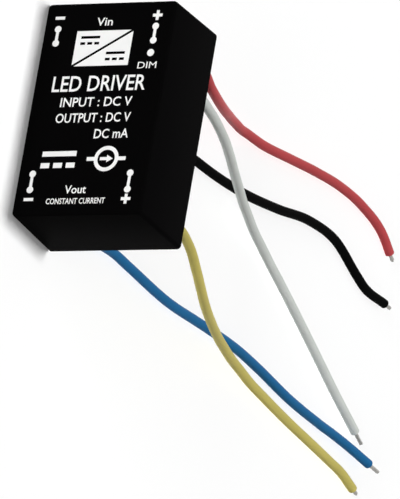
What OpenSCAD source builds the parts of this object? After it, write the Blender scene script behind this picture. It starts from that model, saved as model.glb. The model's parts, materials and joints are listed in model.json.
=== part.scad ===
// Potted constant-current driver module: a drafted plastic case with a filled back and five wire leads.
// The module stands on one long side, label to the front (-Y), and its wires trail behind it (+Y).
// The module's own axes are x across the label, y along it and z out of it, with z = 0 at the rim.

/* [Case] */
// Width of the case across its open back
case_w = 20.3; // [18:0.1:26]
// Length of the case at its open back
case_l = 31.8; // [28:0.1:40]
// Depth of the case from its open back to its label face
case_h = 12.2; // [10.8:0.1:18]
// Draft of the four side walls in degrees
draft = 1.4; // [0.2:0.1:2]
// Thickness of the side walls
wall = 1; // [0.6:0.1:1.2]
// Thickness of the wall behind the label face
label_wall = 1; // [0.6:0.1:1.4]
// Radius of the four long edges
corner_r = 0.6; // [0.3:0.1:1.2]
// Radius of the edge round the label face
edge_r = 0.4; // [0.2:0.1:0.8]
// Side of the corner posts that carry the circuit board
post_w = 1.7; // [1.2:0.1:2]
// Depth of the potting's face below the rim
potting_recess = 0.6; // [0.2:0.1:1.2]

/* [Circuit board] */
// Thickness of the circuit board
board_t = 1; // [0.6:0.1:1.4]
// Depth of the board's wiring side below the rim
board_depth = 2.8; // [2:0.1:3]
// Space between the board and the case walls
board_gap = 0.25; // [0.1:0.05:0.4]
// Space between the components and the board's edge
edge_margin = 0.3; // [0.2:0.05:0.5]
// Space between neighbouring components
part_gap = 0.3; // [0.2:0.05:0.4]

/* [Main inductor] */
// Diameter of the drum core's flanges
drum_d = 8.6; // [7:0.1:9.2]
// Height of the drum core
drum_h = 5.4; // [4.6:0.1:6]
// Thickness of the drum core's flanges
drum_flange = 1.1; // [0.6:0.1:1.4]
// Diameter of the drum core's hub
drum_hub = 4.2; // [3:0.1:5]
// Depth of the winding's face below the flange's edge
drum_wind_gap = 0.4; // [0.2:0.1:0.8]
// Space between the drum core and its shield
drum_gap = 0.3; // [0.2:0.05:0.5]
// Thickness of the shield where it is thinnest
shield_wall = 0.4; // [0.3:0.05:0.6]
// Height of the shield
shield_h = 5.8; // [4.6:0.1:6.4]
// Corner cut of the shield
shield_cut = 1.4; // [0.6:0.1:2]

/* [Filter inductor] */
// Diameter of the filter core's flanges
filter_d = 5.6; // [4.6:0.1:6.2]
// Height of the filter core
filter_h = 4.4; // [3:0.1:5]
// Thickness of the filter core's flanges
filter_flange = 0.8; // [0.5:0.1:1]
// Diameter of the filter core's hub
filter_hub = 2.6; // [1.6:0.1:3]
// Depth of the winding's face below the flange's edge
filter_wind_gap = 0.3; // [0.2:0.1:0.6]

/* [Semiconductors] */
// Length of the controller chip's body
controller_l = 4.9; // [4:0.1:5.2]
// Width of the controller chip's body
controller_w = 3.9; // [3:0.1:4]
// Height of the controller chip
controller_h = 1.6; // [1.2:0.1:1.8]
// Reach of the controller chip's leads past its body
controller_reach = 1.05; // [0.95:0.05:1.2]
// Spacing of the controller chip's leads
controller_pitch = 1.27; // [1:0.01:1.3]
// Width of a controller lead
controller_lead = 0.42; // [0.3:0.02:0.5]
// Length of the switch transistor's body
switch_l = 4.5; // [4:0.1:5]
// Width of the switch transistor's body
switch_w = 2.5; // [2.2:0.1:2.8]
// Height of the switch transistor
switch_h = 1.6; // [1.4:0.1:1.8]
// Reach of the switch transistor's leads past its body
switch_reach = 1; // [0.95:0.05:1.2]
// Spacing of the switch transistor's leads
switch_pitch = 1.5; // [1.3:0.1:1.7]
// Width of a switch transistor lead
switch_lead = 0.5; // [0.4:0.05:0.6]
// Width of the switch transistor's tab
switch_tab = 1.7; // [1.4:0.1:2]
// Thickness of the chip leads
lead_t = 0.2; // [0.1:0.05:0.3]
// Length of a lead's foot
lead_foot = 0.6; // [0.4:0.05:0.7]
// Height of the chip bodies above the board
standoff = 0.15; // [0.1:0.05:0.25]
// Length of the diode's body
diode_l = 4.3; // [3.8:0.1:4.6]
// Width of the diode's body
diode_w = 2.6; // [2.2:0.1:2.9]
// Height of the diode
diode_h = 2.2; // [1.8:0.1:2.6]
// Width of the diode's bent terminals
diode_lead = 1.6; // [1.2:0.1:1.8]
// Length of a diode terminal's foot
diode_foot = 1; // [0.6:0.1:1.2]

/* [Chip parts] */
// Length, width and height of an output capacitor
output_cap = [3.2, 2.5, 2.2]; // [2:0.1:3.4]
// Length, width and height of an input capacitor
input_cap = [3, 1.6, 1.6]; // [1.4:0.1:3.2]
// Length, width and height of a sense resistor
sense_res = [3.2, 1.6, 0.6]; // [0.4:0.1:3.4]
// Length, width and height of a small capacitor
small_cap = [2, 1.2, 1]; // [0.8:0.1:2.2]
// Length, width and height of a small resistor
small_res = [1.6, 0.8, 0.5]; // [0.4:0.1:1.8]
// Length of the metal end of a chip part
chip_end = 0.4; // [0.2:0.05:0.5]

/* [Leads] */
// Distance from the board's long edges to the rows of leads
lead_inset = 1.19; // [1.1:0.01:1.4]
// Distance from the board's short edges to the nearest leads
lead_end_inset = 3.13; // [2.8:0.01:3.4]
// Distance from the positive input lead to the dimming lead
dim_pitch = 3.81; // [3.6:0.01:4]
// Diameter of a wire over its insulation
wire_d = 1.4; // [1.2:0.05:1.6]
// Diameter of a wire's tinned conductor
core_d = 0.6; // [0.4:0.05:0.8]
// Space round a conductor in its hole in the board
hole_gap = 0.1; // [0.05:0.05:0.2]
// Diameter of a solder joint on the board
solder_d = 2; // [1.6:0.1:2.2]
// Height of a solder joint above the board
solder_h = 0.9; // [0.5:0.1:1.2]
// Length of the bare end of the red wire
red_tip = 1.5; // [0.8:0.1:6]
// Length of the bare end of the white wire
white_tip = 2.9; // [0.8:0.1:6]
// Length of the bare end of the black wire
black_tip = 2.1; // [0.8:0.1:6]
// Length of the bare end of the blue wire
blue_tip = 3; // [0.8:0.1:6]
// Length of the bare end of the yellow wire
yellow_tip = 1.5; // [0.8:0.1:6]

/* [Hidden] */

// Facets of true round forms, and of the rounded corners inside the hulls
$fn = 48;
corner_fn = 32;
// Thickness of the slices that a loft is drawn through
slice_t = 0.01;
// Length by which cutters pass through what they cut
cut = 1;

// Place of the standing module: its drafted side lies flat on the floor, centred under the case
stand_y = case_h / 2 * (cos(draft) - sin(draft) * tan(draft));
stand_z = case_w / 2 * cos(draft);

// Heights in the module's own axes
roof_z = case_h - label_wall;
board_top = board_depth + board_t;

// Size of the board, from the case's cavity at the board's component side
board_w = case_w - 2 * (wall + board_gap + board_top * tan(draft));
board_l = case_l - 2 * (wall + board_gap + board_top * tan(draft));

// Places of the leads' holes, set in from the board's edges
row_x = board_w / 2 - lead_inset;
end_y = board_l / 2 - lead_end_inset;
joint_r = solder_d / 2;

// Sizes over the leads of the packages, and of the shield round its drum core
controller_span = controller_w + 2 * controller_reach;
switch_span = switch_w + 2 * switch_reach;
diode_span = diode_l + 2 * lead_t;
shield_bore = drum_d + 2 * drum_gap;
shield_w = shield_bore + 2 * shield_wall;

// Components of the output end, worked in from the board's edges and the solder joints
shield_x = -row_x + joint_r + part_gap + shield_w / 2;
shield_y = -board_l / 2 + edge_margin + shield_w / 2;
output_cap_x = shield_x + shield_w / 2 + part_gap + output_cap.y / 2;
sense_x = shield_x - shield_w / 2 - part_gap - sense_res.y / 2;
output_start = -end_y + joint_r + part_gap;

// Components of the input end, worked in the same way
filter_x = -row_x + joint_r + part_gap + filter_d / 2;
filter_y = board_l / 2 - edge_margin - filter_d / 2;
bridge_res_y = filter_y - filter_d / 2 - part_gap - small_res.y / 2;
small_res_x = -board_w / 2 + edge_margin + small_res.y / 2;
controller_x = small_res_x + small_res.y / 2 + part_gap + controller_span / 2;
controller_y = bridge_res_y - small_res.y / 2 - part_gap - controller_l / 2;
diode_x = filter_x + filter_d / 2 + part_gap + diode_span / 2;
diode_y = board_l / 2 - edge_margin - diode_w / 2;
input_cap_x = filter_x + filter_d / 2 + part_gap + input_cap.x / 2;
input_cap_y = diode_y - diode_w / 2 - part_gap - input_cap.y / 2;
switch_x = controller_x + controller_span / 2 + part_gap + switch_l / 2;
switch_y = input_cap_y - 1.5 * input_cap.y - 2 * part_gap - switch_span / 2;
small_cap_x = switch_x + switch_l / 2 + part_gap + small_cap.y / 2;
small_cap_start = end_y - dim_pitch - joint_r - part_gap;

// Chip part places as [x, y, turn]
output_cap_places = [
    for (i = [0, 1]) [output_cap_x, output_start + output_cap.x / 2 + i * (output_cap.x + part_gap), 90]
];
sense_places = [
    for (i = [0, 1]) [sense_x, output_start + sense_res.x / 2 + i * (sense_res.x + part_gap), 90]
];
input_cap_places = [for (i = [0, 1]) [input_cap_x, input_cap_y - i * (input_cap.y + part_gap), 0]];
small_cap_places = [
    for (i = [0, 1]) [small_cap_x, small_cap_start - small_cap.x / 2 - i * (small_cap.x + part_gap), 90]
];
small_res_places = concat(
    [for (i = [0, 1]) [small_res_x, controller_y + (i - 0.5) * (small_res.x + part_gap), 90]],
    [for (i = [0, 1]) [controller_x + (i - 0.5) * (small_res.x + part_gap), bridge_res_y, 0]]
);

// Where the leads leave the board as [x, y]
red_exit = [row_x, end_y];
white_exit = [row_x, end_y - dim_pitch];
black_exit = [-row_x, end_y];
blue_exit = [-row_x, -end_y];
yellow_exit = [row_x, -end_y];
exits = [red_exit, white_exit, black_exit, blue_exit, yellow_exit];

// Length of straight wire outside the potting, sides of a wire's tube, and the wires' routes
wire_stub = 2;
wire_sides = 8;
red_route = [
    [-11.2, 13, 16.8], [-12.4, 21, 14.3], [-14.6, 29, 11.2], [-17.7, 38, 7.3], [-21.4, 50, 2.6],
    [-22.7, 56, 1.1], [-23.8, 64, 0.7], [-25.5, 73, 0.7], [-27, 81, 0.7], [-28.3, 90, 0.7],
    [-28.6, 98, 0.7], [-27.3, 106.7, 0.7], [-25.8, 109.7, 0.7]
];
white_route = [
    [-8, 15, 16.6], [-8.5, 24, 14.3], [-9.2, 32, 11.6], [-10.3, 40, 8.5], [-11.4, 50, 4.8],
    [-11.3, 57, 2.7], [-10.1, 66, 1], [-8.2, 73, 0.7], [-6.3, 79, 0.7], [-1.9, 92, 0.7],
    [0.2, 98, 0.7], [3.3, 107.7, 0.7]
];
black_route = [
    [-11.5, 17, 1.1], [-11.5, 22, 0.8], [-12.3, 33, 0.7], [-12.9, 42, 0.7], [-13.6, 51, 0.7],
    [-14.8, 60, 0.7], [-17, 71, 0.7], [-19.6, 82, 0.7], [-20.3, 91, 0.7], [-18.3, 100, 0.7],
    [-17.7, 103, 0.7], [-18.1, 110.6, 0.7]
];
blue_route = [
    [10.6, 14, 1.5], [9, 24, 0.7], [9, 29, 0.7], [8.9, 43, 0.7], [8, 52, 0.7], [7.7, 55, 0.7],
    [6.8, 67, 0.7], [6.8, 73, 0.7], [7.1, 85, 0.7], [6.7, 96, 0.7], [6.5, 100, 0.8],
    [6.5, 108.4, 1.25], [6.7, 112.1, 1.6]
];
yellow_route = [
    [11.8, 15, 16.8], [12.9, 20, 15.7], [13.5, 34, 11.2], [12.9, 39, 9.4], [12.2, 44, 7.6],
    [10.7, 54, 4.2], [9.7, 65, 1.5], [9.9, 73, 0.8], [10.3, 86, 0.7], [10.4, 95, 0.7],
    [10.5, 101, 0.7], [10.6, 105.2, 0.7], [11.4, 110, 0.7]
];

// A point of the module's own axes in the standing frame
function standing(p) = [
    -p.y,
    stand_y - sin(draft) * p.x - cos(draft) * p.z,
    stand_z + cos(draft) * p.x - sin(draft) * p.z
];

// A wire's whole path: from the board, straight out of the potting, then along its route
function wire_path(exit, route) = concat(
    [for (z = [board_depth, potting_recess, -wire_stub]) standing([exit.x, exit.y, z])],
    route
);
function unit(v) = v / norm(v);
function heading(path, i) = unit(path[min(i + 1, len(path) - 1)] - path[max(i - 1, 0)]);

// One ring of a wire's tube, square to the path, with a corner straight below it
function wire_ring(path, i) =
    let (ahead = heading(path, i), side = unit(cross(ahead, [0, 0, 1])), up = cross(side, ahead))
    [for (k = [0 : wire_sides - 1])
        let (a = 360 * k / wire_sides) path[i] + wire_d / 2 * (sin(a) * side - cos(a) * up)];

module stand() {
    translate([0, stand_y, stand_z])
        rotate([90, 0, 0])
            rotate([0, 0, 90])
                rotate([0, -draft, 0])
                    children();
}

// A thin slice of a rounded rectangle that follows the draft, inset from the outer wall
module drafted_slice(z, inset, r) {
    in = 2 * (inset + z * tan(draft));
    translate([0, 0, z])
        linear_extrude(slice_t)
            offset(r, $fn = corner_fn)
                square([case_w - in - 2 * r, case_l - in - 2 * r], center = true);
}

// The case as one solid block, its label edge rounded
module case_block() {
    hull() {
        drafted_slice(0, 0, corner_r);
        for (a = [0 : 22.5 : 90])
            drafted_slice(case_h - edge_r * (1 - sin(a)) - slice_t, edge_r * (1 - cos(a)), corner_r);
    }
}

// The case's cavity, from past its open back up to the label wall
module cavity() {
    inner_r = max(corner_r - wall, corner_r / 2);
    hull() {
        drafted_slice(-cut, wall, inner_r);
        drafted_slice(roof_z - slice_t, wall, inner_r);
    }
}

// Four posts in the cavity's corners, from the label wall down to the board
module corner_posts() {
    intersection() {
        cavity();
        for (turn_x = [0, 1], turn_y = [0, 1])
            mirror([turn_x, 0, 0])
                mirror([0, turn_y, 0])
                    translate([board_w / 2 - post_w, board_l / 2 - post_w, board_top])
                        cube([case_w / 2, case_l / 2, case_h]);
    }
}

module case() {
    color("#141416")
        stand() {
            difference() {
                case_block();
                cavity();
            }
            corner_posts();
        }
}

module potting_compound() {
    color("#26262a")
        stand()
            difference() {
                cavity();
                translate([-case_w / 2, -case_l / 2, -2 * cut])
                    cube([case_w, case_l, 2 * cut + potting_recess]);
                corner_posts();
                board_blank();
                components();
                solder_fillets();
                for (p = exits)
                    translate([p.x, p.y, -cut])
                        cylinder(h = board_depth + cut, d = wire_d);
            }
}

module board_blank() {
    translate([-board_w / 2, -board_l / 2, board_depth])
        cube([board_w, board_l, board_t]);
}

module circuit_board() {
    color("#1f5a34")
        stand()
            difference() {
                board_blank();
                for (p = exits)
                    translate([p.x, p.y, board_depth - cut])
                        cylinder(h = board_t + 2 * cut, d = core_d + 2 * hole_gap);
            }
}

// Everything soldered to the board's component side
module components() {
    shield_form();
    drum_form(drum_d, drum_h, drum_flange, drum_hub, shield_x, shield_y);
    winding_form(drum_d, drum_h, drum_flange, drum_hub, drum_wind_gap, shield_x, shield_y);
    drum_form(filter_d, filter_h, filter_flange, filter_hub, filter_x, filter_y);
    winding_form(filter_d, filter_h, filter_flange, filter_hub, filter_wind_gap, filter_x, filter_y);
    controller_form();
    controller_lead_forms();
    switch_form();
    switch_lead_forms();
    diode_form();
    diode_terminal_forms();
    chips(output_cap, output_cap_places);
    chips(input_cap, input_cap_places);
    chips(sense_res, sense_places);
    chips(small_cap, small_cap_places);
    chips(small_res, small_res_places);
}

// Square shield of the main inductor, with its corners cut and a round bore
module shield_form() {
    half = shield_w / 2;
    flat = half - shield_cut;
    translate([shield_x, shield_y, board_top])
        linear_extrude(shield_h)
            difference() {
                polygon([
                    [half, -flat], [half, flat], [flat, half], [-flat, half],
                    [-half, flat], [-half, -flat], [-flat, -half], [flat, -half]
                ]);
                circle(d = shield_bore);
            }
}

// Drum core: a hub between two flanges
module drum_form(d, h, flange, hub, x, y) {
    translate([x, y, board_top])
        rotate_extrude()
            polygon([
                [0, 0], [d / 2, 0], [d / 2, flange], [hub / 2, flange],
                [hub / 2, h - flange], [d / 2, h - flange], [d / 2, h], [0, h]
            ]);
}

// Coil between a drum core's flanges
module winding_form(d, h, flange, hub, gap, x, y) {
    translate([x, y, board_top])
        rotate_extrude()
            translate([hub / 2, flange])
                square([(d - hub) / 2 - gap, h - 2 * flange]);
}

// Moulded chip body lying along y, its long sides sloping away from the band that the leads leave
module chip_body(length, width, height) {
    half = width / 2;
    top = half - lead_t;
    middle = (height + standoff) / 2;
    rotate([90, 0, 0])
        linear_extrude(length, center = true)
            polygon([
                [-top, standoff], [top, standoff], [half, middle - lead_t], [half, middle + lead_t],
                [top, height], [-top, height], [-half, middle + lead_t], [-half, middle - lead_t]
            ]);
}

// Bent lead from the middle of a chip body's side out to a foot on the board
module gull_lead(body_w, reach, height, lead_w) {
    middle = (height + standoff) / 2;
    toe = body_w / 2 + reach;
    knee = toe - lead_foot;
    rotate([90, 0, 0])
        linear_extrude(lead_w, center = true)
            polygon([
                [body_w / 2, middle - lead_t / 2], [knee - lead_t, middle - lead_t / 2], [knee - lead_t, 0],
                [toe, 0], [toe, lead_t], [knee, lead_t],
                [knee, middle + lead_t / 2], [body_w / 2, middle + lead_t / 2]
            ]);
}

module controller_form() {
    translate([controller_x, controller_y, board_top])
        chip_body(controller_l, controller_w, controller_h);
}

module controller_lead_forms() {
    for (turn = [0, 180], i = [-1.5 : 1.5])
        translate([controller_x, controller_y + i * controller_pitch, board_top])
            rotate([0, 0, turn])
                gull_lead(controller_w, controller_reach, controller_h, controller_lead);
}

module switch_form() {
    translate([switch_x, switch_y, board_top])
        rotate([0, 0, 90])
            chip_body(switch_l, switch_w, switch_h);
}

// Three narrow leads towards the inductor and one wide tab on the other side
module switch_lead_forms() {
    for (i = [-1 : 1])
        translate([switch_x + i * switch_pitch, switch_y, board_top])
            rotate([0, 0, -90])
                gull_lead(switch_w, switch_reach, switch_h, switch_lead);
    translate([switch_x, switch_y, board_top])
        rotate([0, 0, 90])
            gull_lead(switch_w, switch_reach, switch_h, switch_tab);
}

module diode_form() {
    translate([diode_x - diode_l / 2, diode_y - diode_w / 2, board_top + lead_t])
        cube([diode_l, diode_w, diode_h - lead_t]);
}

// Terminals bent down the diode's two ends and under its body
module diode_terminal_forms() {
    toe = diode_l / 2 - diode_foot;
    for (turn = [0, 180])
        translate([diode_x, diode_y, board_top])
            rotate([0, 0, turn])
                rotate([90, 0, 0])
                    linear_extrude(diode_lead, center = true)
                        polygon([
                            [toe, 0], [diode_span / 2, 0], [diode_span / 2, diode_h / 2],
                            [diode_l / 2, diode_h / 2], [diode_l / 2, lead_t], [toe, lead_t]
                        ]);
}

// Whole chip parts at their places
module chips(size, places) {
    for (p = places)
        translate([p.x, p.y, board_top])
            rotate([0, 0, p.z])
                translate([-size.x / 2, -size.y / 2, 0])
                    cube(size);
}

// The middles of chip parts, between their metal ends
module chip_middles(size, places) {
    chips([size.x - 2 * chip_end, size.y, size.z], places);
}

// The metal ends of chip parts
module chip_ends(size, places) {
    for (p = places, side = [0, 1])
        translate([p.x, p.y, board_top])
            rotate([0, 0, p.z + 180 * side])
                translate([size.x / 2 - chip_end, -size.y / 2, 0])
                    cube([chip_end, size.y, size.z]);
}

module inductor_shield() {
    color("#3a3a3e")
        stand()
            shield_form();
}

module inductor_core() {
    color("#2c2c30")
        stand()
            drum_form(drum_d, drum_h, drum_flange, drum_hub, shield_x, shield_y);
}

module inductor_winding() {
    color("#b5652a")
        stand()
            winding_form(drum_d, drum_h, drum_flange, drum_hub, drum_wind_gap, shield_x, shield_y);
}

module filter_core() {
    color("#2c2c30")
        stand()
            drum_form(filter_d, filter_h, filter_flange, filter_hub, filter_x, filter_y);
}

module filter_winding() {
    color("#b5652a")
        stand()
            winding_form(filter_d, filter_h, filter_flange, filter_hub, filter_wind_gap, filter_x, filter_y);
}

module controller_body() {
    color("#1d1d20")
        stand()
            controller_form();
}

module controller_leads() {
    color("silver")
        stand()
            controller_lead_forms();
}

module switch_body() {
    color("#1d1d20")
        stand()
            switch_form();
}

module switch_leads() {
    color("silver")
        stand()
            switch_lead_forms();
}

module diode_body() {
    color("#1d1d20")
        stand()
            diode_form();
}

module diode_terminals() {
    color("silver")
        stand()
            diode_terminal_forms();
}

module output_capacitors() {
    color("#a08660")
        stand()
            chip_middles(output_cap, output_cap_places);
}

module output_capacitor_ends() {
    color("silver")
        stand()
            chip_ends(output_cap, output_cap_places);
}

module input_capacitors() {
    color("#a08660")
        stand()
            chip_middles(input_cap, input_cap_places);
}

module input_capacitor_ends() {
    color("silver")
        stand()
            chip_ends(input_cap, input_cap_places);
}

module sense_resistors() {
    color("#202024")
        stand()
            chip_middles(sense_res, sense_places);
}

module sense_resistor_ends() {
    color("silver")
        stand()
            chip_ends(sense_res, sense_places);
}

module small_capacitors() {
    color("#a08660")
        stand()
            chip_middles(small_cap, small_cap_places);
}

module small_capacitor_ends() {
    color("silver")
        stand()
            chip_ends(small_cap, small_cap_places);
}

module small_resistors() {
    color("#202024")
        stand()
            chip_middles(small_res, small_res_places);
}

module small_resistor_ends() {
    color("silver")
        stand()
            chip_ends(small_res, small_res_places);
}

// Bare conductors that pass through the board from the wiring side
module conductor_ends() {
    color("#c9c9c4")
        stand()
            for (p = exits)
                translate([p.x, p.y, board_depth])
                    cylinder(h = board_t + solder_h, d = core_d);
}

// Outer form of the solder above the board, conductor included
module solder_fillets() {
    for (p = exits)
        translate([p.x, p.y, board_top])
            rotate_extrude()
                polygon(concat([[0, 0]], solder_edge(), [[0, solder_h]]));
}

// Hollow edge of a solder joint, from the board up to the conductor
function solder_edge() = let (rise = solder_h, reach = (solder_d - core_d) / 2)
    [for (a = [0 : 22.5 : 90]) [core_d / 2 + reach * (1 - sin(a)), rise * (1 - cos(a))]];

// Solder that fills the board's holes and rises round each conductor
module solder_joints() {
    core_r = core_d / 2;
    hole_r = core_r + hole_gap;
    in_hole = [[core_r, -board_t], [hole_r, -board_t], [hole_r, 0]];
    color("#c9c9c4")
        stand()
            for (p = exits)
                translate([p.x, p.y, board_top])
                    rotate_extrude()
                        polygon(concat(in_hole, solder_edge()));
}

// Tube of a wire's insulation, swept along its path
module wire(exit, route) {
    path = wire_path(exit, route);
    last = len(path) - 1;
    rings = [for (i = [0 : last]) each wire_ring(path, i)];
    sides = [
        for (i = [0 : last - 1], k = [0 : wire_sides - 1])
            let (n = (k + 1) % wire_sides)
            [i * wire_sides + k, i * wire_sides + n, (i + 1) * wire_sides + n, (i + 1) * wire_sides + k]
    ];
    first_end = [for (k = [wire_sides - 1 : -1 : 0]) k];
    last_end = [for (k = [0 : wire_sides - 1]) last * wire_sides + k];
    polyhedron(rings, concat(sides, [first_end, last_end]));
}

// Bare tinned end of a wire, in line with its last stretch
module wire_tip(exit, route, length) {
    path = wire_path(exit, route);
    last = len(path) - 1;
    ahead = heading(path, last);
    translate(path[last])
        rotate([0, acos(ahead.z), atan2(ahead.y, ahead.x)])
            cylinder(h = length, d = core_d);
}

module red_wire() {
    color("#a84648")
        wire(red_exit, red_route);
}

module white_wire() {
    color("#b4b8b4")
        wire(white_exit, white_route);
}

module black_wire() {
    color("#0c0c0d")
        wire(black_exit, black_route);
}

module blue_wire() {
    color("#28699b")
        wire(blue_exit, blue_route);
}

module yellow_wire() {
    color("#aca05c")
        wire(yellow_exit, yellow_route);
}

module red_wire_tip() {
    color("#b4b4b0")
        wire_tip(red_exit, red_route, red_tip);
}

module white_wire_tip() {
    color("#b4b4b0")
        wire_tip(white_exit, white_route, white_tip);
}

module black_wire_tip() {
    color("#b4b4b0")
        wire_tip(black_exit, black_route, black_tip);
}

module blue_wire_tip() {
    color("#b4b4b0")
        wire_tip(blue_exit, blue_route, blue_tip);
}

module yellow_wire_tip() {
    color("#b4b4b0")
        wire_tip(yellow_exit, yellow_route, yellow_tip);
}

case();
potting_compound();
circuit_board();
inductor_shield();
inductor_core();
inductor_winding();
filter_core();
filter_winding();
controller_body();
controller_leads();
switch_body();
switch_leads();
diode_body();
diode_terminals();
output_capacitors();
output_capacitor_ends();
input_capacitors();
input_capacitor_ends();
sense_resistors();
sense_resistor_ends();
small_capacitors();
small_capacitor_ends();
small_resistors();
small_resistor_ends();
conductor_ends();
solder_joints();
red_wire();
white_wire();
black_wire();
blue_wire();
yellow_wire();
red_wire_tip();
white_wire_tip();
black_wire_tip();
blue_wire_tip();
yellow_wire_tip();
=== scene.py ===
"""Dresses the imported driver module: wires, bare ends, case, potting skin, label print and stage."""

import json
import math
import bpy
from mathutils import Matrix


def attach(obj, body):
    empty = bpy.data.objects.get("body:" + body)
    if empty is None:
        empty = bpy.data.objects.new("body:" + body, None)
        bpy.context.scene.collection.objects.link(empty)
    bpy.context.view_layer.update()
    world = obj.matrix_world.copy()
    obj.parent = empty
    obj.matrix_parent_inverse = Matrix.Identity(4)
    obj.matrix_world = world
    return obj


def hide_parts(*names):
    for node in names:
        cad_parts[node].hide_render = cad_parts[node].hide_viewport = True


bl_info = {
    "name": "Potted driver module",
    "version": (1, 0, 0),
    "blender": (4, 5, 0),
    "location": "View3D > Sidebar > Driver",
    "description": "Builds the look of a potted driver module round its packed CAD frame",
    "category": "Object",
}

import bpy
from mathutils import Matrix, Vector

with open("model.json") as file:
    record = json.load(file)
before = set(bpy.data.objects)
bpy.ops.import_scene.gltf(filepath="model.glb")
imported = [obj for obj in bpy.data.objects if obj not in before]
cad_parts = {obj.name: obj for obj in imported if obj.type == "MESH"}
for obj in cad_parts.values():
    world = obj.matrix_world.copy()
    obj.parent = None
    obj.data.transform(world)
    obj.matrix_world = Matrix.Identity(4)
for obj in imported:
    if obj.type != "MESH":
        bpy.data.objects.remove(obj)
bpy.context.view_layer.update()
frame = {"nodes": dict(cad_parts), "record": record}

MM = 0.001
BODY = "root"

# The camera that the photograph was fitted with, in the frame's axes
CAMERA_EYE = (0.399567, -0.931894, 0.508925)
CAMERA_RIGHT = (-0.157843, 0.402511, 0.901704)
CAMERA_DOWN = (0.926547, 0.376136, -0.005712)
CAMERA_FORWARD = (-0.341462, 0.83457, -0.432316)
CAMERA_LENS = 600.54
CAMERA_SENSOR = 36.0

# Leads in the module's own axes, in millimetres: their rows, their ends and the step to the dimming lead
ROW_X, END_Y, DIM_PITCH = 7.617, 11.427, 3.81
# Depth of the board's wiring side below the rim, and the straight stub of a wire past the rim
BOARD_DEPTH, WIRE_STUB = 2.8, 2.0
# Each lead's exit, bare length and route behind the module in millimetres, as the part's source gives them
WIRE_ROUTES = {
    "red": {
        "exit": (ROW_X, END_Y),
        "tip": 1.5,
        "route": (
            (-11.2, 13, 16.8), (-12.4, 21, 14.3), (-14.6, 29, 11.2), (-17.7, 38, 7.3),
            (-21.4, 50, 2.6), (-22.7, 56, 1.1), (-23.8, 64, 0.7), (-25.5, 73, 0.7), (-27, 81, 0.7),
            (-28.3, 90, 0.7), (-28.6, 98, 0.7), (-27.3, 106.7, 0.7), (-25.8, 109.7, 0.7),
        ),
    },
    "white": {
        "exit": (ROW_X, END_Y - DIM_PITCH),
        "tip": 2.9,
        "route": (
            (-8, 15, 16.6), (-8.5, 24, 14.3), (-9.2, 32, 11.6), (-10.3, 40, 8.5), (-11.4, 50, 4.8),
            (-11.3, 57, 2.7), (-10.1, 66, 1), (-8.2, 73, 0.7), (-6.3, 79, 0.7), (-1.9, 92, 0.7),
            (0.2, 98, 0.7), (3.3, 107.7, 0.7),
        ),
    },
    "black": {
        "exit": (-ROW_X, END_Y),
        "tip": 2.1,
        "route": (
            (-11.5, 17, 1.1), (-11.5, 22, 0.8), (-12.3, 33, 0.7), (-12.9, 42, 0.7),
            (-13.6, 51, 0.7), (-14.8, 60, 0.7), (-17, 71, 0.7), (-19.6, 82, 0.7), (-20.3, 91, 0.7),
            (-18.3, 100, 0.7), (-17.7, 103, 0.7), (-18.1, 110.6, 0.7),
        ),
    },
    "blue": {
        "exit": (-ROW_X, -END_Y),
        "tip": 3.0,
        "route": (
            (10.6, 14, 1.5), (9, 24, 0.7), (9, 29, 0.7), (8.9, 43, 0.7), (8, 52, 0.7),
            (7.7, 55, 0.7), (6.8, 67, 0.7), (6.8, 73, 0.7), (7.1, 85, 0.7), (6.7, 96, 0.7),
            (6.5, 100, 0.8), (6.5, 108.4, 1.25), (6.7, 112.1, 1.6),
        ),
    },
    "yellow": {
        "exit": (ROW_X, -END_Y),
        "tip": 1.5,
        "route": (
            (11.8, 15, 16.8), (12.9, 20, 15.7), (13.5, 34, 11.2), (12.9, 39, 9.4), (12.2, 44, 7.6),
            (10.7, 54, 4.2), (9.7, 65, 1.5), (9.9, 73, 0.8), (10.3, 86, 0.7), (10.4, 95, 0.7),
            (10.5, 101, 0.7), (10.6, 105.2, 0.7), (11.4, 110, 0.7),
        ),
    },
}

# Places on the label in millimetres, across it and then along it, from its middle
DIM_DOT = (7.17, 7.93)
MINUS_SIGNS = ((-7.63, 13.43), (-7.59, -13.26))
PLUS_SIGNS = ((7.26, 13.45), (7.23, -13.41))
CONVERTER_PANEL = (-0.32, 8.8)
DIRECT_CURRENT = (-4.05, -7.5)
CURRENT_SOURCE = (3.2, -7.5)
# The two joined dots of each terminal: their place across the label, and each one's place along it
JOINED_DOTS = (
    (-7.67, 11.78, 9.71), (7.24, 11.83, 9.76), (-7.62, -9.53, -11.84), (7.24, -9.67, -12.03),
)
# Words of each print: place of the middle, width and letter height in millimetres, and added weight
LABEL_WORDS = {
    "terminal_words": (
        ("Vin", -0.64, 12.72, 2.42, 1.2, 0.01),
        ("Vout", -0.66, -11.91, 3.25, 1.2, 0.01),
        ("DIM", 6.94, 6.12, 2.86, 0.95, 0.0),
    ),
    "title_words": (("LED DRIVER", 0.1, 3.6, 14.2, 2.28, 0.01),),
    "rating_words": (
        ("INPUT : DC V", 0.15, 0.9, 10.9, 1.38, 0.01),
        ("OUTPUT : DC V", 0.1, -1.43, 11.4, 1.38, 0.01),
        ("DC mA", 3.3, -3.82, 5.2, 1.38, 0.01),
    ),
    "kind_words": (("CONSTANT CURRENT", -0.37, -13.6, 8.95, 0.85, 0.01),),
}


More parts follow.
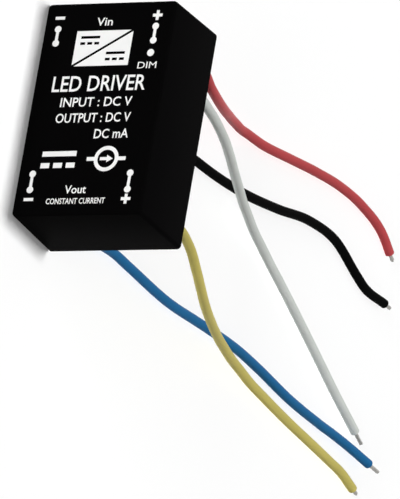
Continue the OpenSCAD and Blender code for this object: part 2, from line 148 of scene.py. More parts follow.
class DriverCase(bpy.types.PropertyGroup):
    """Sizes and finish of the moulded case."""

    width: bpy.props.FloatProperty(
        name="Width", description="Width across the open back", default=20.3 * MM,
        subtype="DISTANCE", unit="LENGTH")
    length: bpy.props.FloatProperty(
        name="Length", description="Length at the open back", default=31.8 * MM,
        subtype="DISTANCE", unit="LENGTH")
    depth: bpy.props.FloatProperty(
        name="Depth", description="Depth from the open back to the label", default=12.2 * MM,
        subtype="DISTANCE", unit="LENGTH")
    draft: bpy.props.FloatProperty(
        name="Draft", description="Lean of the side walls", default=math.radians(1.4),
        subtype="ANGLE", unit="ROTATION")
    wall: bpy.props.FloatProperty(
        name="Wall", description="Thickness of the walls", default=1.0 * MM,
        subtype="DISTANCE", unit="LENGTH")
    corner: bpy.props.FloatProperty(
        name="Corner", description="Radius of the edges between the side walls", default=0.6 * MM,
        subtype="DISTANCE", unit="LENGTH")
    label_edge: bpy.props.FloatProperty(
        name="Label edge", description="Radius round the label face", default=0.4 * MM,
        subtype="DISTANCE", unit="LENGTH")
    rim_edge: bpy.props.FloatProperty(
        name="Rim edge", description="Round along the outer edge of the open back", default=0.12 * MM,
        subtype="DISTANCE", unit="LENGTH")
    post: bpy.props.FloatProperty(
        name="Post", description="Side of the posts that carry the board", default=1.7 * MM,
        subtype="DISTANCE", unit="LENGTH")
    board_top: bpy.props.FloatProperty(
        name="Board top", description="Depth of the board's component side below the rim", default=3.8 * MM,
        subtype="DISTANCE", unit="LENGTH")
    board_gap: bpy.props.FloatProperty(
        name="Board gap", description="Space between the board and the walls", default=0.25 * MM,
        subtype="DISTANCE", unit="LENGTH")
    recess: bpy.props.FloatProperty(
        name="Recess", description="Depth of the potting below the rim", default=0.6 * MM,
        subtype="DISTANCE", unit="LENGTH")
    colour: bpy.props.FloatVectorProperty(
        name="Case colour", description="Colour of the moulded plastic", default=(0.0018, 0.0017, 0.0018),
        size=3, subtype="COLOR", min=0.0, max=1.0)
    potting_colour: bpy.props.FloatVectorProperty(
        name="Potting colour", description="Colour of the cast filling", default=(0.008, 0.008, 0.009),
        size=3, subtype="COLOR", min=0.0, max=1.0)


class DriverWires(bpy.types.PropertyGroup):
    """Sizes and colours of the five wires."""

    diameter: bpy.props.FloatProperty(
        name="Diameter", description="Diameter over the insulation", default=1.4 * MM,
        subtype="DISTANCE", unit="LENGTH")
    strand: bpy.props.FloatProperty(
        name="Strand", description="Diameter of one tinned strand", default=0.2 * MM,
        subtype="DISTANCE", unit="LENGTH")
    lay: bpy.props.FloatProperty(
        name="Lay", description="Length in which a strand goes round once", default=5.0 * MM,
        subtype="DISTANCE", unit="LENGTH")
    red: bpy.props.FloatVectorProperty(
        name="Red", description="Insulation of the positive input", default=(0.43, 0.06, 0.066),
        size=3, subtype="COLOR", min=0.0, max=1.0)
    white: bpy.props.FloatVectorProperty(
        name="White", description="Insulation of the dimming input", default=(0.545, 0.57, 0.545),
        size=3, subtype="COLOR", min=0.0, max=1.0)
    black: bpy.props.FloatVectorProperty(
        name="Black", description="Insulation of the negative input", default=(0.003, 0.003, 0.003),
        size=3, subtype="COLOR", min=0.0, max=1.0)
    blue: bpy.props.FloatVectorProperty(
        name="Blue", description="Insulation of the negative output", default=(0.015, 0.117, 0.28),
        size=3, subtype="COLOR", min=0.0, max=1.0)
    yellow: bpy.props.FloatVectorProperty(
        name="Yellow", description="Insulation of the positive output", default=(0.50, 0.43, 0.12),
        size=3, subtype="COLOR", min=0.0, max=1.0)


class DriverPrint(bpy.types.PropertyGroup):
    """Sizes and colour of the label print."""

    thickness: bpy.props.FloatProperty(
        name="Ink", description="Thickness of the ink", default=0.02 * MM,
        subtype="DISTANCE", unit="LENGTH")
    dot: bpy.props.FloatProperty(
        name="Dot", description="Diameter of a terminal dot", default=1.0 * MM,
        subtype="DISTANCE", unit="LENGTH")
    stroke: bpy.props.FloatProperty(
        name="Stroke", description="Width of the drawn lines", default=0.44 * MM,
        subtype="DISTANCE", unit="LENGTH")
    sign: bpy.props.FloatProperty(
        name="Sign", description="Width of a plus or minus sign", default=1.45 * MM,
        subtype="DISTANCE", unit="LENGTH")
    ink: bpy.props.FloatVectorProperty(
        name="Ink colour", description="Colour of the printed ink", default=(0.88, 0.88, 0.87),
        size=3, subtype="COLOR", min=0.0, max=1.0)


class DriverStage(bpy.types.PropertyGroup):
    """Floor, light and background."""

    floor_size: bpy.props.FloatProperty(
        name="Floor", description="Side of the floor", default=24.0, subtype="DISTANCE", unit="LENGTH")
    floor_colour: bpy.props.FloatVectorProperty(
        name="Floor colour", description="Colour of the pale floor", default=(0.88, 0.88, 0.88),
        size=3, subtype="COLOR", min=0.0, max=1.0)
    floor_lift: bpy.props.FloatProperty(
        name="Floor lift", description="White added to the floor for the camera and for reflections",
        default=0.1, min=0.0, max=1.0)
    fade_start: bpy.props.FloatProperty(
        name="Fade start", description="Distance at which the floor starts to fade to white", default=0.25,
        subtype="DISTANCE", unit="LENGTH")
    fade_end: bpy.props.FloatProperty(
        name="Fade end", description="Distance from which the floor is white", default=0.6,
        subtype="DISTANCE", unit="LENGTH")
    top_power: bpy.props.FloatProperty(
        name="Top light", description="Power of the light above the module", default=16.2,
        subtype="POWER", unit="POWER")
    soft_power: bpy.props.FloatProperty(
        name="Soft box", description="Power of the wide box above", default=2.0,
        subtype="POWER", unit="POWER")
    front_power: bpy.props.FloatProperty(
        name="Front light", description="Power of the wide light before the label", default=24.0,
        subtype="POWER", unit="POWER")
    ambient: bpy.props.FloatProperty(
        name="Ambient", description="Strength of the light from all round", default=0.06, min=0.0, max=2.0)


def settings(name):
    """One group of the scene's settings."""
    return getattr(bpy.context.scene, name)


def clear_selection():
    """Leaves edit mode and deselects everything, so that an operator acts on the new piece alone."""
    if bpy.context.object and bpy.context.object.mode != "OBJECT":
        bpy.ops.object.mode_set(mode="OBJECT")
    bpy.ops.object.select_all(action="DESELECT")


def pick(*objects):
    """Selects these objects alone, the first of them active."""
    clear_selection()
    for piece in objects:
        piece.select_set(True)
    bpy.context.view_layer.objects.active = objects[0]


def named(name):
    """The object that was just added, under its own name."""
    piece = bpy.context.object
    piece.name = name
    piece.data.name = name
    return piece


def sized(name, size=(1, 1, 1)):
    """The object that was just added, under its own name, with its size and place put into its mesh."""
    piece = named(name)
    piece.scale = size
    bpy.ops.object.transform_apply(location=True, rotation=True, scale=True)
    return piece


def block(name, size, middle=(0, 0, 0)):
    """A box about its middle, to be shaped further."""
    clear_selection()
    bpy.ops.mesh.primitive_cube_add(size=1, location=middle)
    return sized(name, size)


def apply_place(piece, place):
    """Puts a piece at its place and into its mesh, so that its object sits at the origin."""
    pick(piece)
    piece.matrix_world = place
    bpy.ops.object.transform_apply(location=True, rotation=True, scale=True)
    return piece


def copied(piece, place):
    """A copy of a piece, with its own mesh, at its place."""
    pick(piece)
    bpy.ops.object.duplicate()
    return apply_place(bpy.context.object, place)


def deselect_inside(piece, kind):
    """Sets a piece to pick faces or edges, with none of them selected."""
    pick(piece)
    bpy.ops.object.mode_set(mode="EDIT")
    bpy.ops.mesh.select_mode(type=kind)
    bpy.ops.mesh.select_all(action="DESELECT")
    bpy.ops.object.mode_set(mode="OBJECT")


def edit_faces(piece, test):
    """Enters edit mode with the faces selected whose centre and normal pass the test."""
    deselect_inside(piece, "FACE")
    for face in piece.data.polygons:
        face.select = test(face.center, face.normal)
    bpy.ops.object.mode_set(mode="EDIT")


def edit_edges(piece, test):
    """Enters edit mode with the edges selected whose two ends pass the test."""
    deselect_inside(piece, "EDGE")
    points = piece.data.vertices
    for edge in piece.data.edges:
        edge.select = test(points[edge.vertices[0]].co, points[edge.vertices[1]].co)
    bpy.ops.object.mode_set(mode="EDIT")


def leave_edit():
    bpy.ops.object.mode_set(mode="OBJECT")


def round_edges(piece, radius, segments, test):
    """Bevels the edges whose two ends pass the test."""
    edit_edges(piece, test)
    bpy.ops.mesh.bevel(offset=radius, segments=segments, affect="EDGES")
    leave_edit()


def lean_walls(piece, width, length, height, lean):
    """Draws in the upper face of a box, so that its four walls lean."""
    edit_faces(piece, lambda centre, normal: normal.z > 0.9)
    fall = 2 * height * lean
    bpy.ops.transform.resize(value=(1 - fall / width, 1 - fall / length, 1))
    leave_edit()


def smooth(piece, degrees):
    """Shades a piece smooth, apart from edges sharper than an angle."""
    pick(piece)
    bpy.ops.object.shade_smooth_by_angle(angle=math.radians(degrees))


def apply_modifiers(piece):
    """Applies every modifier of a piece, in order."""
    pick(piece)
    for name in [modifier.name for modifier in piece.modifiers]:
        bpy.ops.object.modifier_apply(modifier=name)


def cut_or_join(piece, tools, operation):
    """Boolean of a piece with several tool solids, which are used up."""
    for tool in tools:
        step = piece.modifiers.new("step", "BOOLEAN")
        step.operation = operation
        step.solver = "EXACT"
        step.object = tool
        apply_modifiers(piece)
        bpy.data.objects.remove(tool)
    return piece


def standing():
    """Matrix from the module's own axes to the frame: the module stands on one drafted long side."""
    case = settings("driver_case")
    lean_s, lean_c = math.sin(case.draft), math.cos(case.draft)
    back = case.depth / 2 * (lean_c - lean_s * math.tan(case.draft))
    up = case.width / 2 * lean_c
    return Matrix((
        (0, -1, 0, 0),
        (-lean_s, 0, -lean_c, back),
        (lean_c, 0, -lean_s, up),
        (0, 0, 0, 1),
    ))


def paint(piece, finish):
    """Gives a piece one material in place of those it has."""
    piece.data.materials.clear()
    piece.data.materials.append(finish)


def seat(piece, finish):
    """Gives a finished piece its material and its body."""
    paint(piece, finish)
    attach(piece, BODY)
    return piece


def shadow_group():
    """The pieces that stop the top light, so that only the case throws its shadow on the floor."""
    name = "shadow_of_case"
    return bpy.data.collections.get(name) or bpy.data.collections.new(name)


def node(tree, kind, **inputs):
    """Adds a shader node and sets its inputs by name."""
    made = tree.nodes.new(kind)
    for key, value in inputs.items():
        made.inputs[key.replace("_", " ")].default_value = value
    return made


def surface(name, colour, roughness, grain=2500.0, shade=0.15, spread=0.08, bump=0.0, metallic=0.0,
            specular=0.5, patch=250.0):
    """A procedural finish on Object coordinates: broad patches of shade, fine grain in gloss and relief."""
    material = bpy.data.materials.new(name)
    material.use_nodes = True
    tree = material.node_tree
    links = tree.links
    shader = tree.nodes["Principled BSDF"]
    shader.inputs["Metallic"].default_value = metallic
    shader.inputs["Specular IOR Level"].default_value = specular
    place = node(tree, "ShaderNodeTexCoord")
    broad = node(tree, "ShaderNodeTexNoise", Scale=patch, Detail=3.0, Roughness=0.55)
    fine = node(tree, "ShaderNodeTexNoise", Scale=grain, Detail=2.0, Roughness=0.5)
    tint = node(tree, "ShaderNodeMix")
    tint.data_type = "RGBA"
    tint.inputs["A"].default_value = [c * (1 - shade) for c in colour] + [1]
    tint.inputs["B"].default_value = [min(1.0, c * (1 + shade)) for c in colour] + [1]
    matt = node(tree, "ShaderNodeMapRange", To_Min=roughness - spread, To_Max=roughness + spread)
    links.new(place.outputs["Object"], broad.inputs["Vector"])
    links.new(place.outputs["Object"], fine.inputs["Vector"])
    links.new(broad.outputs["Fac"], tint.inputs["Factor"])
    links.new(tint.outputs["Result"], shader.inputs["Base Color"])
    links.new(fine.outputs["Fac"], matt.inputs["Value"])
    links.new(matt.outputs["Result"], shader.inputs["Roughness"])
    if bump:
        relief = node(tree, "ShaderNodeBump", Distance=bump, Strength=0.6)
        links.new(fine.outputs["Fac"], relief.inputs["Height"])
        links.new(relief.outputs["Normal"], shader.inputs["Normal"])
    return material


def slopes(points):
    """Chord lengths and tangents along a route; heights never dip below their neighbours."""
    steps = [(b - a).length for a, b in zip(points, points[1:])]
    rates = [(b - a) / s for a, b, s in zip(points, points[1:], steps)]
    tangents = [rates[0].copy()]
    for before, after, s0, s1 in zip(rates, rates[1:], steps, steps[1:]):
        mean = (before * s1 + after * s0) / (s0 + s1)
        if before.z * after.z <= 0:
            mean.z = 0.0
        else:
            mean.z = 2 * before.z * after.z / (before.z + after.z)
        tangents.append(mean)
    tangents.append(rates[-1].copy())
    return steps, tangents


def wire_points(colour):
    """A wire's whole route in the frame, in metres: from the board, out of the potting, behind the module."""
    facts = WIRE_ROUTES[colour]
    x, y = facts["exit"]
    potting = settings("driver_case").recess / MM
    place = standing()
    start = [place @ Vector((x * MM, y * MM, z * MM)) for z in (BOARD_DEPTH, potting, -WIRE_STUB)]
    return start + [Vector(point) * MM for point in facts["route"]]


class DRIVER_OT_wires(bpy.types.Operator):
    """Lays the five wires along their routes, each as one smooth cord"""

    bl_idname = "driver.wires"
    bl_label = "Wires"

    def execute(self, context):
        wires = settings("driver_wires")
        for colour in WIRE_ROUTES:
            points = wire_points(colour)
            steps, tangents = slopes(points)
            clear_selection()
            bpy.ops.curve.primitive_bezier_curve_add(location=(0, 0, 0))
            cord = named(colour + "_cord")
            line = cord.data
            spline = line.splines[0]
            spline.bezier_points.add(len(points) - len(spline.bezier_points))
            reach = [steps[0], *steps, steps[-1]]
            for i, knot in enumerate(spline.bezier_points):
                knot.handle_left_type = knot.handle_right_type = "FREE"
                knot.co = points[i]
                knot.handle_left = points[i] - tangents[i] * reach[i] / 3
                knot.handle_right = points[i] + tangents[i] * reach[i + 1] / 3
            line.dimensions = "3D"
            line.resolution_u = 10
            line.bevel_depth = wires.diameter / 2
            line.bevel_resolution = 6
            line.use_fill_caps = True
            gloss = 0.002 if colour == "black" else 0.02
            finish = surface(
                colour + "_insulation", getattr(wires, colour), roughness=0.45, grain=2600.0, shade=0.10,
                spread=0.06, bump=0.000006, specular=gloss, patch=120.0)
            seat(cord, finish)
            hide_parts(colour + "_wire")
        return {"FINISHED"}


class DRIVER_OT_bare_ends(bpy.types.Operator):
    bl_idname = "driver.bare_ends"
    bl_label = "Bare wire ends"

    def strand(self, length, radius, offset, turns):
        """One strand swept along z, going round the axis by a share of a turn."""
        clear_selection()
        bpy.ops.mesh.primitive_circle_add(vertices=10, radius=radius, location=(offset, 0, 0))
        piece = sized("strand")
        sweep = piece.modifiers.new("sweep", "SCREW")
        sweep.axis = "Z"
        sweep.angle = turns * math.tau
        sweep.screw_offset = length
        sweep.steps = sweep.render_steps = 14
        apply_modifiers(piece)
        bpy.ops.object.mode_set(mode="EDIT")
        bpy.ops.mesh.select_all(action="SELECT")
        bpy.ops.mesh.fill_holes(sides=0)
        bpy.ops.mesh.normals_make_consistent(inside=False)
        leave_edit()
        return piece

    def twist(self, wires, length):
        """Six strands round a straight one, in three slightly uneven lengths, each used on two sides."""
        uneven = 0.05 * MM
        radius = wires.strand / 2
        strands = [self.strand(length, radius, 0.0, 0.0)]
        for i in range(3):
            cut = length - i * uneven
            outer = self.strand(cut, radius, wires.strand, cut / wires.lay)
            strands.append(copied(outer, Matrix.Rotation((i + 3) * math.tau / 6, 4, "Z")))
            strands.append(apply_place(outer, Matrix.Rotation(i * math.tau / 6, 4, "Z")))
        pick(*strands)
        bpy.ops.object.join()

    def execute(self, context):
        wires = settings("driver_wires")
        finish = surface(
            "tinned_strands", (0.38, 0.37, 0.35), roughness=0.42, grain=5200.0, shade=0.22, spread=0.12,
            bump=0.000008, metallic=1.0, patch=900.0)
        sunk = 0.4 * MM
        for colour, facts in WIRE_ROUTES.items():
            self.twist(wires, facts["tip"] * MM + sunk)
            tip = named(colour + "_bare_end")
            points = wire_points(colour)
            ahead = (points[-1] - points[-2]).normalized()
            turn = ahead.to_track_quat("Z", "Y").to_matrix().to_4x4()
            apply_place(tip, Matrix.Translation(points[-1] - ahead * sunk) @ turn)
            smooth(tip, 40)
            seat(tip, finish)
            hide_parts(colour + "_wire_tip")
        return {"FINISHED"}


class DRIVER_OT_case(bpy.types.Operator):
    """Models the drafted case as a moulded shell with rounded edges and four inner posts"""

    bl_idname = "driver.case"
    bl_label = "Case"

    def execute(self, context):
        case = settings("driver_case")
        lean = math.tan(case.draft)
        shell = block("case_shell", (case.width, case.length, case.depth), (0, 0, case.depth / 2))
        lean_walls(shell, case.width, case.length, case.depth, lean)
        touch = 1e-7
        top = case.depth - touch
        round_edges(shell, case.corner, 6, lambda a, b: abs(a.z - b.z) > case.depth / 2)
        round_edges(shell, case.label_edge, 5, lambda a, b: a.z > top and b.z > top)
        cut_or_join(shell, [self.cavity(case, lean)], "DIFFERENCE")
        edge_w, edge_l = (case.width - case.wall) / 2, (case.length - case.wall) / 2
        round_edges(
            shell, case.rim_edge, 2,
            lambda a, b: a.z < touch and b.z < touch
            and (min(abs(a.x), abs(b.x)) > edge_w or min(abs(a.y), abs(b.y)) > edge_l))
        apply_place(shell, standing())
        smooth(shell, 35)
        finish = surface(
            "case_plastic", case.colour, roughness=0.5, grain=5200.0, shade=0.12, spread=0.07, bump=0.00001,
            specular=0.002, patch=180.0)
        seat(shell, finish)
        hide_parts("case")
        shadow_group().objects.link(shell)
        return {"FINISHED"}

    def cavity(self, case, lean):
        """The drafted room inside the case, less four posts that carry the board."""
        past_rim = 0.5 * MM
        roof = case.depth - case.wall
        width = case.width - 2 * case.wall + 2 * past_rim * lean
        length = case.length - 2 * case.wall + 2 * past_rim * lean
        height = roof + past_rim
        room = block("cavity", (width, length, height), (0, 0, (roof - past_rim) / 2))
        lean_walls(room, width, length, height, lean)
        inset = case.wall + case.board_gap + case.board_top * lean
        reach = case.post + case.wall
        across = case.width / 2 - inset - case.post + reach / 2
        along = case.length / 2 - inset - case.post + reach / 2
        post = block("post", (reach, reach, roof))
        posts = []
        for x, y in ((-across, -along), (-across, along), (across, -along), (across, along)):
            posts.append(copied(post, Matrix.Translation((x, y, case.board_top + roof / 2))))
        bpy.data.objects.remove(post)
        return cut_or_join(room, posts, "DIFFERENCE")


class DRIVER_OT_potting_skin(bpy.types.Operator):
    """Casts the potting's cured skin, drawn up at the walls and round each wire"""

    bl_idname = "driver.potting_skin"
    bl_label = "Potting skin"

    def ripple(self, x, y):
        """Slow unevenness of the cast face, from -1.5 to 1.5, for a place in millimetres."""
        broad = math.sin(x * 0.55 + 0.7) * math.sin(y * 0.37 + 1.9)
        return broad + 0.5 * math.sin(x * 0.23 - y * 0.81)

    def execute(self, context):
        case = settings("driver_case")
        lean = math.tan(case.draft)
        width = case.width - 2 * (case.wall + case.recess * lean)
        length = case.length - 2 * (case.wall + case.recess * lean)
        clear_selection()
        bpy.ops.mesh.primitive_grid_add(
            x_subdivisions=64, y_subdivisions=104, size=1, location=(0, 0, case.recess))
        skin = sized("potting_skin", (width, length, 1))
        proud, uneven = 0.06 * MM, 0.018 * MM
        climb, climb_width = 0.26 * MM, 0.45 * MM
        for point in skin.data.vertices:
            x, y = point.co.xy
            wall = max(0, min(width / 2 - abs(x), length / 2 - abs(y)))
            rise = climb * math.exp(-wall / climb_width)
            point.co.z -= proud + rise + uneven * self.ripple(x / MM, y / MM)
        body = skin.modifiers.new("body", "SOLIDIFY")
        body.thickness = 0.1 * MM
        body.offset = 1
        apply_modifiers(skin)
        collar = self.collar(settings("driver_wires").diameter / 2, case.recess)
        exits = [Vector((*facts["exit"], 0)) * MM for facts in WIRE_ROUTES.values()]
        collars = [copied(collar, Matrix.Translation(place)) for place in exits]
        bpy.data.objects.remove(collar)
        pick(skin, *collars)
        bpy.ops.object.join()
        apply_place(skin, standing())
        smooth(skin, 50)
        finish = surface(
            "cast_potting", case.potting_colour, roughness=0.34, grain=1500.0, shade=0.25, spread=0.10,
            bump=0.00002, specular=0.3, patch=300.0)
        seat(skin, finish)
        paint(frame["nodes"]["potting_compound"], finish)
        return {"FINISHED"}

    def collar(self, radius, face):
        """A fillet of potting that climbs a wire, hollow in profile."""
        foot, lip = radius + 0.75 * MM, radius - 0.03 * MM
        low, high = face - 0.42 * MM, face + 0.1 * MM
        clear_selection()
        bpy.ops.mesh.primitive_cone_add(
            vertices=40, radius1=lip, radius2=foot, depth=high - low, location=(0, 0, (low + high) / 2))
        collar = sized("collar")
        edit_edges(collar, lambda a, b: abs(a.z - b.z) > (high - low) / 2)
        bpy.ops.mesh.subdivide(number_cuts=7)
        leave_edit()
        for point in collar.data.vertices:
            share = (point.co.z - low) / (high - low)
            point.co.xy = point.co.xy.normalized() * (lip + (foot - lip) * share ** 3)
        return collar


def ink_bar(x, y, width, height):
    """A printed bar, drawn flat about its middle, in millimetres."""
    ink = settings("driver_print")
    return block("bar", (width * MM, height * MM, 2 * ink.thickness), (x * MM, y * MM, 0))


def ink_disc(x, y, diameter, sides=32, turn=0.0):
    """A printed disc, or with three sides a triangle, in millimetres."""
    ink = settings("driver_print")
    clear_selection()
    bpy.ops.mesh.primitive_cylinder_add(
        vertices=sides, radius=diameter * MM / 2, depth=2 * ink.thickness, location=(x * MM, y * MM, 0),
        rotation=(0, 0, turn))
    return sized("disc")


def ink_words(words, x, y, width, height, weight):
    """Printed words fitted to a width and a letter height about their middle, in millimetres."""
    ink = settings("driver_print")
    clear_selection()
    bpy.ops.object.text_add(location=(0, 0, 0))
    text = named("words").data
    text.body = words
    text.align_x = "CENTER"
    text.align_y = "CENTER"
    text.resolution_u = 3
    text.offset = weight
    text.extrude = 1.0
    bpy.ops.object.convert(target="MESH")
    piece = bpy.context.object
    low = [min(v.co[i] for v in piece.data.vertices) for i in range(3)]
    high = [max(v.co[i] for v in piece.data.vertices) for i in range(3)]
    middle = [(a + b) / 2 for a, b in zip(low, high)]
    size = [b - a for a, b in zip(low, high)]
    grow = Matrix.Diagonal((width * MM / size[0], height * MM / size[1], 2 * ink.thickness / size[2], 1))
    place = Matrix.Translation((x * MM, y * MM, 0)) @ grow @ Matrix.Translation([-m for m in middle])
    return apply_place(piece, place)


def ink_cut(piece, tools):
    """Leaves the shapes of the tools bare in a print."""
    for tool in tools:
        tool.scale.z = 3
    return cut_or_join(piece, tools, "DIFFERENCE")


def ink_finish():
    """White ink, slightly uneven, made once."""
    ink = settings("driver_print")
    return bpy.data.materials.get("label_ink") or surface(
        "label_ink", ink.ink, roughness=0.5, grain=6000.0, shade=0.04, spread=0.08, bump=0.000004,
        specular=0.3, patch=700.0)


def print_label(prints, name):
    """Joins prints that were drawn flat at the origin into one piece and lays it on the label face."""
    pick(*prints)
    if len(prints) > 1:
        bpy.ops.object.join()
    face = Matrix.Translation((0, 0, settings("driver_case").depth))
    return seat(apply_place(named(name), standing() @ face), ink_finish())


class DRIVER_OT_terminal_marks(bpy.types.Operator):
    """Prints the joined dots of the terminals and their plus and minus signs"""

    bl_idname = "driver.terminal_marks"
    bl_label = "Terminal marks"

    def execute(self, context):
        ink = settings("driver_print")
        dot, stroke, sign = ink.dot / MM, ink.stroke / MM, ink.sign / MM
        dots = []
        for x, high, low in JOINED_DOTS:
            tools = [ink_disc(x, low, dot), ink_bar(x, (high + low) / 2, stroke, high - low)]
            dots.append(cut_or_join(ink_disc(x, high, dot), tools, "UNION"))
        dots.append(ink_disc(*DIM_DOT, dot * 1.05))
        print_label(dots, "terminal_dots")
        signs = [ink_bar(x, y, sign, stroke) for x, y in MINUS_SIGNS]
        for x, y in PLUS_SIGNS:
            plus = ink_bar(x, y, sign, stroke)
            signs.append(cut_or_join(plus, [ink_bar(x, y, stroke, sign)], "UNION"))
        print_label(signs, "terminal_signs")
        return {"FINISHED"}


class DRIVER_OT_words(bpy.types.Operator):
    """Prints the plain words of the terminals, the part's kind and its two sides"""

    bl_idname = "driver.words"
    bl_label = "Label words"

    def execute(self, context):
        for name, rows in LABEL_WORDS.items():
            print_label([ink_words(*row) for row in rows], name)
        return {"FINISHED"}


class DRIVER_OT_symbols(bpy.types.Operator):
    """Prints a panel with a converter symbol, a direct-current symbol and a current-source symbol"""

    bl_idname = "driver.symbols"
    bl_label = "Label symbols"

    def direct_current(self, x, y, width, stroke, drop):
        """A line over three dashes, about its middle, in millimetres."""
        dash, pitch = 0.258 * width, 0.371 * width
        dashes = [ink_bar(x + step * pitch, y - drop / 2, dash, stroke) for step in (-1, 0, 1)]
        return [ink_bar(x, y + drop / 2, width, stroke), *dashes]

    def converter(self, x, y, width=8.6, height=5.2):
        """A panel with a slash between two direct-current symbols left bare in it."""
        slash = ink_bar(0, 0, width=1.05 * math.hypot(width, height), height=0.36)
        turn = Matrix.Rotation(math.atan2(height, width), 4, "Z")
        apply_place(slash, Matrix.Translation((x * MM, y * MM, 0)) @ turn)
        above = self.direct_current(x - 2.1, y + 1.2, width=2.9, stroke=0.4, drop=0.9)
        below = self.direct_current(x + 2.1, y - 1.2, width=2.9, stroke=0.4, drop=0.9)
        return ink_cut(ink_bar(x, y, width, height), [slash, *above, *below])

    def current_source(self, x, y):
        """A ring on a line, with an arrow in it."""
        hole = ink_disc(x, y, diameter=2.6, sides=48)
        ring = ink_cut(ink_disc(x, y, diameter=3.7, sides=48), [hole])
        leads = [ink_bar(x + side * 2.25, y, width=1.4, height=0.55) for side in (-1, 1)]
        head = ink_disc(x + 0.4, y, diameter=1.25, sides=3, turn=-math.pi / 2)
        arrow = cut_or_join(ink_bar(x - 0.35, y, width=1.2, height=0.45), [head], "UNION")
        return [cut_or_join(ring, leads, "UNION"), arrow]

    def execute(self, context):
        print_label([self.converter(*CONVERTER_PANEL)], "symbol_panel")
        current = self.direct_current(*DIRECT_CURRENT, width=5.2, stroke=0.75, drop=1.7)
        print_label(current + self.current_source(*CURRENT_SOURCE), "symbol_marks")
        return {"FINISHED"}


class DRIVER_OT_inner_parts(bpy.types.Operator):
    """Gives the parts inside the potting their own finishes"""

    bl_idname = "driver.inner_parts"
    bl_label = "Inner parts"

    def execute(self, context):
        finishes = {
            "board": surface(
                "solder_mask", (0.02, 0.13, 0.05), roughness=0.35, grain=3000.0, shade=0.2, bump=0.000004),
            "ferrite": surface(
                "ferrite", (0.05, 0.05, 0.055), roughness=0.6, grain=6000.0, shade=0.2, bump=0.00001),
            "copper": surface(
                "copper", (0.55, 0.2, 0.07), roughness=0.35, grain=4200.0, metallic=1.0, bump=0.00002),
            "chip_epoxy": surface(
                "chip_epoxy", (0.012, 0.012, 0.013), roughness=0.55, grain=7000.0, bump=0.000006),
            "tin": surface(
                "tin_plate", (0.58, 0.57, 0.55), roughness=0.4, grain=5000.0, metallic=1.0, bump=0.000004),
            "capacitor_ceramic": surface(
                "fired_ceramic", (0.36, 0.24, 0.13), roughness=0.5, grain=4000.0, bump=0.000004),
            "resistor_ceramic": surface(
                "glazed_ceramic", (0.02, 0.02, 0.022), roughness=0.3, grain=4000.0, bump=0.000002),
            "solder": surface(
                "bright_solder", (0.56, 0.56, 0.55), roughness=0.25, grain=3000.0, metallic=1.0,
                bump=0.000008),
            "tinned_copper": surface(
                "tinned_core", (0.5, 0.49, 0.47), roughness=0.36, grain=5200.0, metallic=1.0),
        }
        for row in frame["record"]["subparts"]:
            piece = frame["nodes"][row["node"]]
            if row["material_slot"] in finishes and not piece.hide_render:
                paint(piece, finishes[row["material_slot"]])
        return {"FINISHED"}


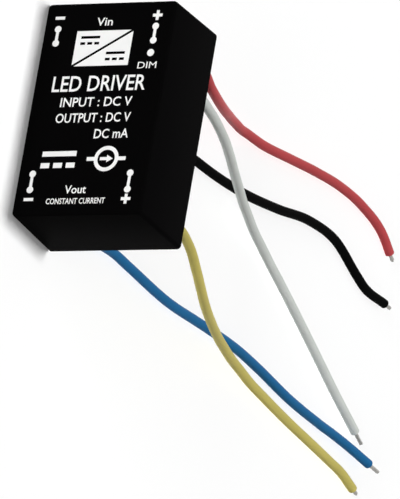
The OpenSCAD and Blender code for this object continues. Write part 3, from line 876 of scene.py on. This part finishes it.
class DRIVER_OT_stage(bpy.types.Operator):
    """Sets the pale floor, the soft studio light, the white background and the camera"""

    bl_idname = "driver.stage"
    bl_label = "Stage"

    def math_node(self, tree, operation, first, second):
        """Adds a math node that takes an output, and an output or a number."""
        made = node(tree, "ShaderNodeMath")
        made.operation = operation
        tree.links.new(first, made.inputs[0])
        if isinstance(second, float):
            made.inputs[1].default_value = second
        else:
            tree.links.new(second, made.inputs[1])
        return made.outputs["Value"]

    def seen_white(self, tree):
        """One where the camera or a reflection looks, and nothing where light only bounces."""
        path = node(tree, "ShaderNodeLightPath").outputs
        total = self.math_node(tree, "MAXIMUM", path["Is Camera Ray"], path["Is Glossy Ray"])
        return self.math_node(tree, "MAXIMUM", total, path["Is Transmission Ray"])

    def floor(self, stage):
        """A matt pale floor that fades to plain white away from the module."""
        clear_selection()
        bpy.ops.mesh.primitive_plane_add(size=stage.floor_size, location=(0, 0, 0))
        floor = named("floor")
        material = bpy.data.materials.new("pale_floor")
        material.use_nodes = True
        tree = material.node_tree
        links = tree.links
        tree.nodes.remove(tree.nodes["Principled BSDF"])
        seen = self.seen_white(tree)
        matt = node(tree, "ShaderNodeBsdfDiffuse", Color=[*stage.floor_colour, 1])
        glow = node(tree, "ShaderNodeEmission")
        links.new(self.math_node(tree, "MULTIPLY", seen, stage.floor_lift), glow.inputs["Strength"])
        lifted = node(tree, "ShaderNodeAddShader")
        links.new(matt.outputs["BSDF"], lifted.inputs[0])
        links.new(glow.outputs["Emission"], lifted.inputs[1])
        place = node(tree, "ShaderNodeTexCoord")
        away = node(tree, "ShaderNodeVectorMath")
        away.operation = "LENGTH"
        links.new(place.outputs["Object"], away.inputs[0])
        fade = node(tree, "ShaderNodeMapRange", From_Min=stage.fade_start, From_Max=stage.fade_end)
        links.new(away.outputs["Value"], fade.inputs["Value"])
        white = node(tree, "ShaderNodeEmission")
        mixed = node(tree, "ShaderNodeMixShader")
        links.new(self.math_node(tree, "MULTIPLY", fade.outputs["Result"], seen), mixed.inputs["Fac"])
        links.new(lifted.outputs["Shader"], mixed.inputs[1])
        links.new(white.outputs["Emission"], mixed.inputs[2])
        links.new(mixed.outputs["Shader"], tree.nodes["Material Output"].inputs["Surface"])
        floor.data.materials.append(material)

    def world(self, stage):
        """A room that looks white and lights the module only a little."""
        world = bpy.data.worlds.new("white_room")
        bpy.context.scene.world = world
        world.use_nodes = True
        tree = world.node_tree
        light = tree.nodes["Background"]
        light.inputs["Color"].default_value = (1, 1, 1, 1)
        scale = node(tree, "ShaderNodeMapRange", To_Min=stage.ambient, To_Max=1.0)
        tree.links.new(self.seen_white(tree), scale.inputs["Value"])
        tree.links.new(scale.outputs["Result"], light.inputs["Strength"])

    def lamp(self, name, power, size, place, aim):
        """An area lamp at a place, turned to what it aims at, and not seen itself."""
        clear_selection()
        bpy.ops.object.light_add(type="AREA", location=place)
        lamp = named(name)
        lamp.data.energy = power
        lamp.data.shape = "RECTANGLE"
        lamp.data.size, lamp.data.size_y = size
        look = Vector(aim) - Vector(place)
        tilt = math.atan2(look.xy.length, -look.z)
        heading = math.atan2(-look.x, look.y) if look.xy.length else 0
        lamp.rotation_euler = (tilt, 0, heading)
        lamp.visible_camera = False
        return lamp

    def camera(self):
        """The camera that looks as the photograph does."""
        clear_selection()
        bpy.ops.object.camera_add()
        camera = named("camera")
        camera.data.lens = CAMERA_LENS
        camera.data.sensor_width = CAMERA_SENSOR
        right, up, back = Vector(CAMERA_RIGHT), -Vector(CAMERA_DOWN), -Vector(CAMERA_FORWARD)
        turn = Matrix((right, up, back)).transposed().to_4x4()
        camera.matrix_world = Matrix.Translation(CAMERA_EYE) @ turn
        bpy.context.scene.camera = camera

    def execute(self, context):
        stage = settings("driver_stage")
        self.floor(stage)
        self.world(stage)
        top = self.lamp(
            "top_light", stage.top_power, size=(0.17, 0.23), place=(-0.085, 0.11, 1.4), aim=(-0.085, 0.11, 0))
        top.light_linking.blocker_collection = shadow_group()
        self.lamp("soft_box", stage.soft_power, size=(2.2, 2.2), place=(-0.2, 0.3, 1.5), aim=(0, 0.04, 0))
        self.lamp(
            "front_light", stage.front_power, size=(2.4, 0.6), place=(0.2, -1.8, 0.36), aim=(0, 0, 0.01))
        self.camera()
        bpy.context.scene.view_settings.view_transform = "Standard"
        return {"FINISHED"}


class DRIVER_PT_sidebar(bpy.types.Panel):
    """Lists the steps that dress the module"""

    bl_idname = "DRIVER_PT_sidebar"
    bl_label = "Driver module"
    bl_space_type = "VIEW_3D"
    bl_region_type = "UI"
    bl_category = "Driver"

    def draw(self, context):
        for step in STEPS:
            self.layout.operator(step.bl_idname)


GROUPS = {
    "driver_case": DriverCase,
    "driver_wires": DriverWires,
    "driver_print": DriverPrint,
    "driver_stage": DriverStage,
}
STEPS = (
    DRIVER_OT_stage,
    DRIVER_OT_wires,
    DRIVER_OT_bare_ends,
    DRIVER_OT_case,
    DRIVER_OT_potting_skin,
    DRIVER_OT_terminal_marks,
    DRIVER_OT_words,
    DRIVER_OT_symbols,
    DRIVER_OT_inner_parts,
)


def register():
    for group in GROUPS.values():
        bpy.utils.register_class(group)
    for step in (*STEPS, DRIVER_PT_sidebar):
        bpy.utils.register_class(step)
    for name, group in GROUPS.items():
        setattr(bpy.types.Scene, name, bpy.props.PointerProperty(type=group))


def unregister():
    for name in GROUPS:
        delattr(bpy.types.Scene, name)
    for step in reversed((*STEPS, DRIVER_PT_sidebar)):
        bpy.utils.unregister_class(step)
    for group in reversed(list(GROUPS.values())):
        bpy.utils.unregister_class(group)


def main():
    register()
    bpy.ops.driver.stage()
    bpy.ops.driver.wires()
    bpy.ops.driver.bare_ends()
    bpy.ops.driver.case()
    bpy.ops.driver.potting_skin()
    bpy.ops.driver.terminal_marks()
    bpy.ops.driver.words()
    bpy.ops.driver.symbols()
    bpy.ops.driver.inner_parts()
    clear_selection()


if __name__ == "__main__":
    main()
